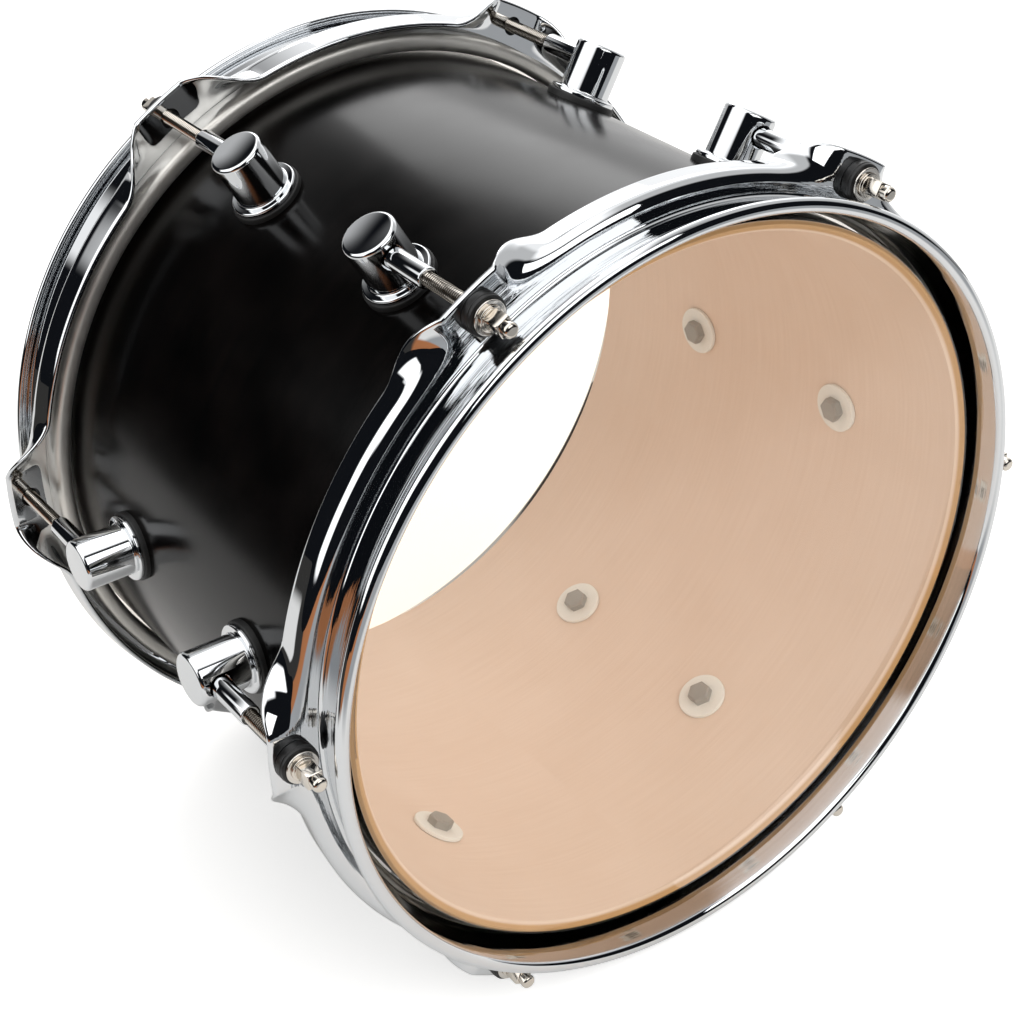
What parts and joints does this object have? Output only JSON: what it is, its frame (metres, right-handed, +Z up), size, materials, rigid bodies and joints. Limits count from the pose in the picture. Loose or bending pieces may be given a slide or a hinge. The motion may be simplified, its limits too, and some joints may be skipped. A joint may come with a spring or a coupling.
{
  "type": "tom drum",
  "caption": "Tom drum lying on its side: dark wood shell, clear film heads, pressed steel hoops drawn down by tension rods into round turret lugs.",
  "frame": {"origin": "on the floor under the middle of the drum, between the two hoops it lies on", "axes": "+Y along the drum axis from the batter head to the resonant head, +Z up, +X to the right seen from the batter side"},
  "size_m": [0.3546, 0.2584, 0.3325],
  "materials": {
    "shell_wood": "satin, near-black brown stain outside, bare pale maple inside",
    "clear_film": "clear polyester film",
    "flesh_hoop_aluminium": "satin",
    "hoop_chrome": "bright chrome plate on pressed steel",
    "lug_chrome": "bright chrome plate",
    "rod_nickel": "bright nickel plate",
    "washer_steel": "bright",
    "black_plastic": "matt",
    "screw_steel": "zinc grey",
    "inner_washer_zinc": "pale zinc"
  },
  "bodies": {
    "drum": {"shell": "shell_wood", "batter_film": "clear_film", "batter_flesh_hoop": "flesh_hoop_aluminium", "batter_lug_gaskets": "black_plastic", "batter_swivel_nuts": "lug_chrome", "batter_lug_screws": "screw_steel", "batter_screw_washers": "inner_washer_zinc", "batter_lug_1": "lug_chrome", "batter_lug_2": "lug_chrome", "batter_lug_3": "lug_chrome", "batter_lug_4": "lug_chrome", "batter_lug_5": "lug_chrome", "batter_lug_6": "lug_chrome", "resonant_film": "clear_film", "resonant_flesh_hoop": "flesh_hoop_aluminium", "resonant_lug_gaskets": "black_plastic", "resonant_swivel_nuts": "lug_chrome", "resonant_lug_screws": "screw_steel", "resonant_screw_washers": "inner_washer_zinc", "resonant_lug_1": "lug_chrome", "resonant_lug_2": "lug_chrome", "resonant_lug_3": "lug_chrome", "resonant_lug_4": "lug_chrome", "resonant_lug_5": "lug_chrome", "resonant_lug_6": "lug_chrome"},
    "batter_hoop_set": {"batter_hoop": "hoop_chrome", "batter_cushion_washers": "black_plastic", "batter_steel_washers": "washer_steel"},
    "batter_tension_rod_1": {"batter_rod_1": "rod_nickel"},
    "batter_tension_rod_2": {"batter_rod_2": "rod_nickel"},
    "batter_tension_rod_3": {"batter_rod_3": "rod_nickel"},
    "batter_tension_rod_4": {"batter_rod_4": "rod_nickel"},
    "batter_tension_rod_5": {"batter_rod_5": "rod_nickel"},
    "batter_tension_rod_6": {"batter_rod_6": "rod_nickel"},
    "resonant_hoop_set": {"resonant_hoop": "hoop_chrome", "resonant_cushion_washers": "black_plastic", "resonant_steel_washers": "washer_steel"},
    "resonant_tension_rod_1": {"resonant_rod_1": "rod_nickel"},
    "resonant_tension_rod_2": {"resonant_rod_2": "rod_nickel"},
    "resonant_tension_rod_3": {"resonant_rod_3": "rod_nickel"},
    "resonant_tension_rod_4": {"resonant_rod_4": "rod_nickel"},
    "resonant_tension_rod_5": {"resonant_rod_5": "rod_nickel"},
    "resonant_tension_rod_6": {"resonant_rod_6": "rod_nickel"}
  },
  "joints": [
    {"name": "batter_hoop_slide", "type": "slide", "parent": "drum", "child": "batter_hoop_set", "axis": [0, -1, 0], "range_m": [0, 0.012]},
    {"name": "batter_rod_1_spin", "type": "hinge", "parent": "batter_hoop_set", "child": "batter_tension_rod_1", "pos_m": [-0.084, -0.115, 0.31173], "axis": [0, -1, 0], "range_deg": [0, 4083]},
    {"name": "batter_rod_2_spin", "type": "hinge", "parent": "batter_hoop_set", "child": "batter_tension_rod_2", "pos_m": [-0.168, -0.115, 0.16623], "axis": [0, -1, 0], "range_deg": [0, 4083]},
    {"name": "batter_rod_3_spin", "type": "hinge", "parent": "batter_hoop_set", "child": "batter_tension_rod_3", "pos_m": [-0.084, -0.115, 0.02074], "axis": [0, -1, 0], "range_deg": [0, 4083]},
    {"name": "batter_rod_4_spin", "type": "hinge", "parent": "batter_hoop_set", "child": "batter_tension_rod_4", "pos_m": [0.084, -0.115, 0.02074], "axis": [0, -1, 0], "range_deg": [0, 4083]},
    {"name": "batter_rod_5_spin", "type": "hinge", "parent": "batter_hoop_set", "child": "batter_tension_rod_5", "pos_m": [0.168, -0.115, 0.16623], "axis": [0, -1, 0], "range_deg": [0, 4083]},
    {"name": "batter_rod_6_spin", "type": "hinge", "parent": "batter_hoop_set", "child": "batter_tension_rod_6", "pos_m": [0.084, -0.115, 0.31173], "axis": [0, -1, 0], "range_deg": [0, 4083]},
    {"name": "resonant_hoop_slide", "type": "slide", "parent": "drum", "child": "resonant_hoop_set", "axis": [0, 1, 0], "range_m": [0, 0.012]},
    {"name": "resonant_rod_1_spin", "type": "hinge", "parent": "resonant_hoop_set", "child": "resonant_tension_rod_1", "pos_m": [0.084, 0.115, 0.31173], "axis": [0, 1, 0], "range_deg": [0, 4083]},
    {"name": "resonant_rod_2_spin", "type": "hinge", "parent": "resonant_hoop_set", "child": "resonant_tension_rod_2", "pos_m": [0.168, 0.115, 0.16623], "axis": [0, 1, 0], "range_deg": [0, 4083]},
    {"name": "resonant_rod_3_spin", "type": "hinge", "parent": "resonant_hoop_set", "child": "resonant_tension_rod_3", "pos_m": [0.084, 0.115, 0.02074], "axis": [0, 1, 0], "range_deg": [0, 4083]},
    {"name": "resonant_rod_4_spin", "type": "hinge", "parent": "resonant_hoop_set", "child": "resonant_tension_rod_4", "pos_m": [-0.084, 0.115, 0.02074], "axis": [0, 1, 0], "range_deg": [0, 4083]},
    {"name": "resonant_rod_5_spin", "type": "hinge", "parent": "resonant_hoop_set", "child": "resonant_tension_rod_5", "pos_m": [-0.168, 0.115, 0.16623], "axis": [0, 1, 0], "range_deg": [0, 4083]},
    {"name": "resonant_rod_6_spin", "type": "hinge", "parent": "resonant_hoop_set", "child": "resonant_tension_rod_6", "pos_m": [-0.084, 0.115, 0.31173], "axis": [0, 1, 0], "range_deg": [0, 4083]}
  ],
  "couplings": [
    {"joint": "batter_rod_1_spin", "follows": "batter_hoop_slide", "rad_per_m": 5936.9},
    {"joint": "batter_rod_2_spin", "follows": "batter_hoop_slide", "rad_per_m": 5936.9},
    {"joint": "batter_rod_3_spin", "follows": "batter_hoop_slide", "rad_per_m": 5936.9},
    {"joint": "batter_rod_4_spin", "follows": "batter_hoop_slide", "rad_per_m": 5936.9},
    {"joint": "batter_rod_5_spin", "follows": "batter_hoop_slide", "rad_per_m": 5936.9},
    {"joint": "batter_rod_6_spin", "follows": "batter_hoop_slide", "rad_per_m": 5936.9},
    {"joint": "resonant_rod_1_spin", "follows": "resonant_hoop_slide", "rad_per_m": 5936.9},
    {"joint": "resonant_rod_2_spin", "follows": "resonant_hoop_slide", "rad_per_m": 5936.9},
    {"joint": "resonant_rod_3_spin", "follows": "resonant_hoop_slide", "rad_per_m": 5936.9},
    {"joint": "resonant_rod_4_spin", "follows": "resonant_hoop_slide", "rad_per_m": 5936.9},
    {"joint": "resonant_rod_5_spin", "follows": "resonant_hoop_slide", "rad_per_m": 5936.9},
    {"joint": "resonant_rod_6_spin", "follows": "resonant_hoop_slide", "rad_per_m": 5936.9}
  ]
}
